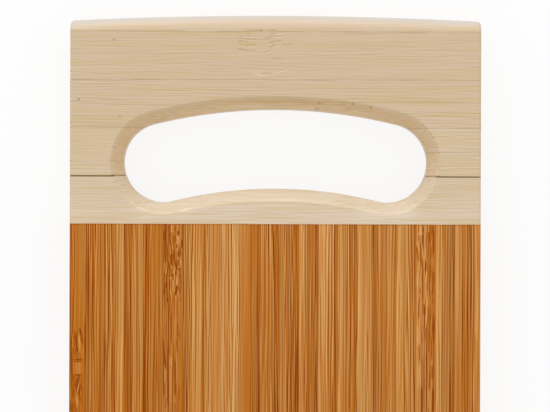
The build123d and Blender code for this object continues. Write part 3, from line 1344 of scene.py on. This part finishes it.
@dataclass
class ResinSeam:
    """Dried resin in the joint that has opened beside the hand slot, as a row of dark beads."""

    name: str
    start: Vector
    end: Vector
    dark: Colour
    light: Colour
    seed: int
    bead: float = 0.17 * MM
    count: int = 90
    ball_detail: int = 2
    least_stretch: Tuple[float, float, float] = (2.0, 0.6, 0.5)
    most_stretch: Tuple[float, float, float] = (5.0, 1.0, 1.0)
    mottle_cells: Tuple[float, float, float] = (700.0, 2500.0, 2500.0)
    mottle_detail: float = 2.0
    mottle_range: Tuple[float, float] = (0.3, 0.7)
    rough_low: float = 0.35
    rough_high: float = 0.6
    gloss: float = 0.2

    def material(self) -> bpy.types.Material:
        """Makes the resin: dark brown, mottled and a little glossy.

        Returns:
            The material.
        """
        material = bpy.data.materials.new(f"resin_{self.name}")
        writer = NodeWriter.blank(material)
        source = writer.add("ShaderNodeTexCoord").outputs["Object"]
        mottle = writer.noise(writer.vector("MULTIPLY", source, self.mottle_cells), self.mottle_detail)
        colour = writer.tint(writer.spread(mottle, *self.mottle_range, 0.0, 1.0), self.dark, self.light)
        rough = writer.spread(mottle, *self.mottle_range, self.rough_low, self.rough_high)
        shader = writer.add("ShaderNodeBsdfPrincipled", {
            "Base Color": colour, "Roughness": rough, "Specular IOR Level": self.gloss,
        })
        writer.add("ShaderNodeOutputMaterial", {"Surface": shader.outputs[0]})
        return material

    def tree(self) -> bpy.types.NodeTree:
        """Writes the geometry nodes: beads along a line, each of its own size.

        Returns:
            The node tree.
        """
        tree = bpy.data.node_groups.new(f"beads_{self.name}", "GeometryNodeTree")
        takes = {
            "Start": VECTOR, "End": VECTOR, "Count": INT, "Bead": FLOAT, "Seed": INT, "Material": MATERIAL,
        }
        for label, kind in takes.items():
            tree.interface.new_socket(label, in_out="INPUT", socket_type=kind)
        tree.interface.new_socket("Geometry", in_out="OUTPUT", socket_type=GEOMETRY)
        writer = NodeWriter(tree)
        given = writer.add("NodeGroupInput").outputs
        line = writer.add("GeometryNodeCurvePrimitiveLine", {"Start": given["Start"], "End": given["End"]})
        spread = writer.add("GeometryNodeCurveToPoints", {
            "Curve": line.outputs[0], "Count": given["Count"],
        })
        ball = writer.add("GeometryNodeMeshIcoSphere", {
            "Radius": given["Bead"], "Subdivisions": self.ball_detail,
        })
        size = writer.add(
            "FunctionNodeRandomValue",
            {0: self.least_stretch, 1: self.most_stretch, "Seed": given["Seed"]},
            data_type="FLOAT_VECTOR",
        )
        beads = writer.add("GeometryNodeInstanceOnPoints", {
            "Points": spread.outputs[0], "Instance": ball.outputs[0], "Scale": size.outputs[0],
        })
        made = writer.add("GeometryNodeRealizeInstances", {"Geometry": beads.outputs[0]})
        dressed = writer.add(
            "GeometryNodeSetMaterial", {"Geometry": made.outputs[0], "Material": given["Material"]}
        )
        writer.add("NodeGroupOutput", {"Geometry": dressed.outputs[0]})
        return tree

    def build(self) -> bpy.types.Object:
        """Makes the row of beads as a plain mesh that rides on the board.

        Returns:
            The finished piece.
        """
        material = self.material()
        maker = bpy.data.objects.new(f"{self.name}_maker", bpy.data.meshes.new(f"{self.name}_maker"))
        bpy.context.scene.collection.objects.link(maker)
        modifier = maker.modifiers.new("beads", "NODES")
        modifier.node_group = self.tree()
        values = {
            "Start": self.start, "End": self.end, "Count": self.count, "Bead": self.bead, "Seed": self.seed,
            "Material": material,
        }
        for item in modifier.node_group.interface.items_tree:
            if item.in_out == "INPUT":
                modifier[item.identifier] = values[item.name]
        evaluated = maker.evaluated_get(bpy.context.evaluated_depsgraph_get())
        mesh = bpy.data.meshes.new_from_object(evaluated)
        mesh.name = self.name
        bpy.data.objects.remove(maker)
        piece = bpy.data.objects.new(self.name, mesh)
        bpy.context.scene.collection.objects.link(piece)
        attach(piece, BODY)
        LOG.info("built %s with %d faces", self.name, len(mesh.polygons))
        return piece


@dataclass
class Studio:
    """A plain pale floor under soft light, which is a little stronger from beyond the handle.

    The floor glows a little and is clear from below, so that the board's underside can be looked at too.
    """

    floor_size: float = 8.0
    floor_gap: float = 0.2 * MM
    floor_white: float = 0.95
    bounce_share: float = 0.5
    glow_share: float = 0.85
    sky: float = 0.88
    key_power: float = 5.4
    key_width: float = 0.9
    key_depth: float = 0.4
    key_distance: float = 1.25
    key_height: float = 15.0
    key_turn: float = 10.0

    @staticmethod
    def seen_directly(writer: NodeWriter) -> Socket:
        """Tells where a surface is seen by the camera, in a reflection or through glass.

        Args:
            writer: The writer of the material or the world.

        Returns:
            1 where it is seen so, and 0 where it only gives light.
        """
        path = writer.add("ShaderNodeLightPath").outputs
        first = writer.math("MAXIMUM", path["Is Camera Ray"], path["Is Glossy Ray"])
        return writer.math("MAXIMUM", first, path["Is Transmission Ray"])

    def build_floor(self) -> bpy.types.Object:
        """Lays the floor that the board lies on.

        Returns:
            The floor, marked as stage.
        """
        half = self.floor_size / 2
        low = -self.floor_gap
        corners = [(-half, -half, low), (half, -half, low), (half, half, low), (-half, half, low)]
        mesh = bpy.data.meshes.new("floor")
        mesh.from_pydata(corners, [], [(0, 1, 2, 3)])
        material = bpy.data.materials.new("white_floor")
        writer = NodeWriter.blank(material)
        white = (self.floor_white, self.floor_white, self.floor_white, 1.0)
        matt = writer.add("ShaderNodeBsdfDiffuse", {"Color": white})
        glow = writer.add("ShaderNodeEmission", {"Color": (1.0, 1.0, 1.0, 1.0), "Strength": 1.0})
        share = writer.spread(self.seen_directly(writer), 0.0, 1.0, self.bounce_share, self.glow_share)
        both = writer.add("ShaderNodeMixShader", {0: share, 1: matt.outputs[0], 2: glow.outputs[0]})
        clear = writer.add("ShaderNodeBsdfTransparent")
        under = writer.add("ShaderNodeNewGeometry").outputs["Backfacing"]
        sided = writer.add("ShaderNodeMixShader", {0: under, 1: both.outputs[0], 2: clear.outputs[0]})
        writer.add("ShaderNodeOutputMaterial", {"Surface": sided.outputs[0]})
        mesh.materials.append(material)
        floor = bpy.data.objects.new("floor", mesh)
        bpy.context.scene.collection.objects.link(floor)
        floor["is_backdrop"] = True
        return floor

    def build_sky(self) -> None:
        """Surrounds the board with even light, which looks white where it is seen."""
        world = bpy.data.worlds.new("soft_room")
        bpy.context.scene.world = world
        writer = NodeWriter.blank(world)
        white = (1.0, 1.0, 1.0, 1.0)
        room = writer.add("ShaderNodeBackground", {"Color": white, "Strength": self.sky})
        seen = writer.add("ShaderNodeBackground", {"Color": white, "Strength": 1.0})
        both = writer.add("ShaderNodeMixShader", {
            0: self.seen_directly(writer), 1: room.outputs[0], 2: seen.outputs[0],
        })
        writer.add("ShaderNodeOutputWorld", {"Surface": both.outputs[0]})

    def build_key(self) -> bpy.types.Object:
        """Hangs the one large lamp beyond the handle.

        Returns:
            The lamp.
        """
        light = bpy.data.lights.new("key", "AREA")
        light.energy = self.key_power
        light.shape = "RECTANGLE"
        light.size = self.key_width
        light.size_y = self.key_depth
        lamp = bpy.data.objects.new("key", light)
        height, turn = math.radians(self.key_height), math.radians(self.key_turn)
        level = math.cos(height)
        towards = Vector((-math.sin(turn) * level, math.cos(turn) * level, math.sin(height)))
        lamp.location = towards * self.key_distance
        lamp.rotation_euler = (-towards).to_track_quat("-Z", "Y").to_euler()
        bpy.context.scene.collection.objects.link(lamp)
        return lamp

    def build(self) -> None:
        """Sets up the floor, the sky, the lamp and the view of colours."""
        self.build_floor()
        self.build_sky()
        self.build_key()
        bpy.context.scene.view_settings.view_transform = "Standard"
        LOG.info("set up the studio")


@dataclass
class OverheadCamera:
    """A camera straight above the handle end, with the handle towards the top of the picture."""

    picture_width: float = 203.2 * MM
    target_x: float = -0.1 * MM
    target_y: float = 49.33 * MM
    roll: float = 0.18
    distance: float = 0.8
    sensor: float = 36.0
    far: float = 20.0

    def build(self) -> bpy.types.Object:
        """Makes the scene's camera.

        Returns:
            The camera.
        """
        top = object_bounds()[1].z
        data = bpy.data.cameras.new("overhead")
        data.sensor_width = self.sensor
        data.lens = self.sensor * self.distance / self.picture_width
        data.clip_end = self.far
        camera = bpy.data.objects.new("overhead", data)
        camera.location = (self.target_x, self.target_y, top + self.distance)
        camera.rotation_euler = (0.0, 0.0, math.radians(self.roll))
        bpy.context.scene.collection.objects.link(camera)
        bpy.context.scene.camera = camera
        LOG.info("placed the camera")
        return camera


def bar_node_marks() -> Tuple[Mark, ...]:
    """Short bowed streaks round the node on the handle's upper strip.

    Returns:
        The streaks left of the node, those right of it, and the arc below them.
    """
    fine = 0.16
    left_fan = (
        Mark(8.5, 14.1, 1.7, 2, 0.5), Mark(8.2, 10.2, 1.9, 0, 1.0), Mark(7.1, 11.3, 0.9, 0, 0.6),
        Mark(6.7, 11.5, 1.0, 3, -1.2), Mark(6.3, 10.6, 3.9, 6, 1.1), Mark(6.4, 9.1, 0.9, 0, -0.8),
        Mark(5.2, 11.3, 3.4, 8, 1.1), Mark(5.2, 9.5, 1.2, 0, -0.6), Mark(4.5, 11.9, 0.9, 4, -0.7),
        Mark(4.0, 10.6, 4.3, 6, 1.9, bow=0.02), Mark(3.3, 8.8, 2.0, 0, -0.6),
        Mark(2.0, 10.6, 4.3, 5, 1.7, bow=0.022), Mark(0.8, 14.3, 0.7, 0, 0.7),
    )
    right_fan = (
        Mark(8.1, 1.2, 1.6, -10, 1.0), Mark(6.7, 2.5, 1.5, -14, 1.6), Mark(7.1, -1.2, 2.9, 0, 0.8),
        Mark(6.7, -1.2, 2.5, 0, -0.8), Mark(5.0, 1.7, 1.2, -15, 1.4), Mark(5.3, -0.5, 2.1, -3, 1.2),
        Mark(4.9, -0.9, 1.5, 0, -0.7), Mark(3.4, 1.9, 0.9, 0, 1.9), Mark(3.8, 0.3, 1.5, 2, 0.9),
        Mark(3.8, 2.0, 0.6, 0, -0.9), Mark(3.4, -0.3, 1.4, -2, -1.0), Mark(4.1, -3.8, 2.6, 0, 0.7),
        Mark(1.3, 3.6, 1.5, -17, 1.6), Mark(1.0, 3.2, 1.1, -17, -1.1), Mark(0.4, 2.5, 1.6, 0, 0.4),
        Mark(-1.0, -0.3, 2.7, 0, 0.75),
    )
    arc = (
        Mark(-7.0, 6.5, 2.2, 19, -0.9), Mark(-7.4, 3.6, 1.6, 0, -0.5), Mark(-6.4, 3.2, 2.4, 0, 0.7),
        Mark(-6.0, -1.6, 3.6, -17, -0.9), Mark(-5.2, -2.9, 2.0, -17, 0.5),
    )
    return tuple(replace(mark, half_width=fine) for mark in left_fan + right_fan + arc)


def handle_looks() -> Dict[str, StripLook]:
    """What sets the handle bar's strips apart.

    Returns:
        Looks by the strip's name.
    """
    open_edge = 8.8
    arched = -0.00265
    core = {f"handle_core_strip_{number}": StripLook(Tone.FLAXEN, heart_and_edge_light=HeartAndEdgeLight.PALE_CORE_AND_PAINTED_SHEEN) for number in (1, 2)}
    return core | {
        "handle_face_crown_strip": StripLook(
            Tone.STRAW,
            figure=Figure.QUIET,
            veins=(Vein(-2.75, 1.5, 0.26, 60.0, 28.0),),
            marks=(Mark(-2.7, 8.4, 4.4, 0, 0.7, 0.4), Mark(-2.6, 1.8, 2.6, 0, 0.9, 0.2)),
            pins=(Pin(-2.7, 5.2, 0.26, 0.4, 0.5),),
            # The crown's roundover takes the painted sheen.
            heart_and_edge_light=HeartAndEdgeLight.PAINTED_SHEEN,
        ),
        "handle_face_upper_strip": StripLook(
            Tone.GINGER,
            veins=(Vein(8.4, 2.0, 0.25, -40.0, 18.0), Vein(0.6, 1.8, 0.24, 48.0, 34.0)),
            marks=bar_node_marks(),
            pins=(Pin(5.8, 59.8, 0.3, 0.4, 0.5),),
        ),
        "handle_face_arch_strip": StripLook(
            Tone.GINGER,
            figure=Figure.BOLD,
            veins=(Vein(0.6, 3.0, 0.25, -27.0, 52.0), Vein(-8.2, 1.6, 0.25, 62.0, 9.0)),
            marks=(Mark(-0.9, 0.0, 52.0, 0, -0.4, 1.3, arched), Mark(2.2, 0.0, 52.0, 0, 0.16, 1.1, arched)),
            pins=(
                Pin(1.4, 72.7, 0.32, 0.4),
                Pin(-4.9, 57.5, 0.22, 0.3),
                Pin(-1.6, -15.3, 0.3, 0.7, 0.45),
                Pin(0.3, -16.4, 0.3, 0.9, 0.35),
                Pin(0.0, -28.6, 0.5, 0.6, 0.4),
                Pin(-1.2, -35.2, 0.4, 0.6, 0.4),
            ),
            # The slot's upper bevel, which faces away from the lamp, takes the painted warm shade.
            heart_and_edge_light=HeartAndEdgeLight.PAINTED_WARM_SHADE,
        ),
        "handle_face_left_cheek": StripLook(
            Tone.STRAW,
            veins=(Vein(-3.6, 1.4), Vein(-open_edge, 2.4, 0.3)),
            pins=(Pin(-open_edge, 57.0, 0.2, 1.8, 0.8), Pin(-open_edge, 59.8, 0.2, 1.0, 0.7)),
            cast=Cast.RICH,
            # The slot's left end bevel, which faces away from the lamp, takes the painted warm shade.
            heart_and_edge_light=HeartAndEdgeLight.PAINTED_WARM_SHADE,
            ragged=0.9,
        ),
        "handle_face_right_cheek": StripLook(
            Tone.STRAW,
            figure=Figure.BOLD,
            veins=(Vein(0.0, 2.2, 0.22), Vein(-open_edge, 1.6, 0.3)),
            pins=(Pin(-open_edge, -58.0, 0.2, 3.4, 0.6),),
            cast=Cast.RICH,
            heart_and_edge_light=HeartAndEdgeLight.TAN,
            ragged=0.9,
        ),
        "handle_face_lower_strip": StripLook(
            Tone.STRAW,
            veins=(Vein(open_edge, 1.2, 0.3),),
            marks=(
                Mark(0.0, 0.0, 62.0, 0, -0.3, 12.0),
                *(Mark(-3.1, side * 41.0, 14.0, 0, -0.35, 3.5) for side in (1, -1)),
                *(Mark(-5.0, side * 62.0, 24.0, 0, -0.22, 3.5) for side in (1, -1)),
            ),
            cast=Cast.WARM,
            # The slot's lower bevel, which faces the lamp, takes this colour as painted sheen.
            heart_and_edge_light=HeartAndEdgeLight.PALE_CORE_AND_PAINTED_SHEEN,
        ),
    }


def open_joint_seams() -> List[ResinSeam]:
    """The resin in the open joint, left and right of the hand slot.

    Returns:
        One row of beads for each side.
    """
    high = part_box("handle_face_lower_strip")[1]
    half_groove = 0.175 * MM
    sunk = 0.3 * MM
    side_margin = 1.2 * MM
    inner = 60.4 * MM
    across, level, outer = high.y - half_groove, high.z - sunk, high.x - side_margin
    return [
        ResinSeam(
            "resin_seam_left", Vector((-outer, across, level)), Vector((-inner, across, level)),
            shade(46, 25, 6), shade(92, 54, 18), seed=3,
        ),
        ResinSeam(
            "resin_seam_right", Vector((inner, across, level)), Vector((outer, across, level)),
            shade(84, 42, 16), shade(132, 78, 38), seed=8,
        ),
    ]


def main() -> None:
    """Dresses the board, adds the resin and sets up the studio."""
    logging.basicConfig(level=logging.INFO, format="%(name)s: %(message)s")
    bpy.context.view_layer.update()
    DarkField().dress()
    PaleBar("handle_", first_seed=40.0, looks=handle_looks()).dress()
    PaleBar("foot_", first_seed=80.0).dress()
    for seam in open_joint_seams():
        seam.build()
    Studio().build()
    OverheadCamera().build()


if __name__ == "__main__":
    main()
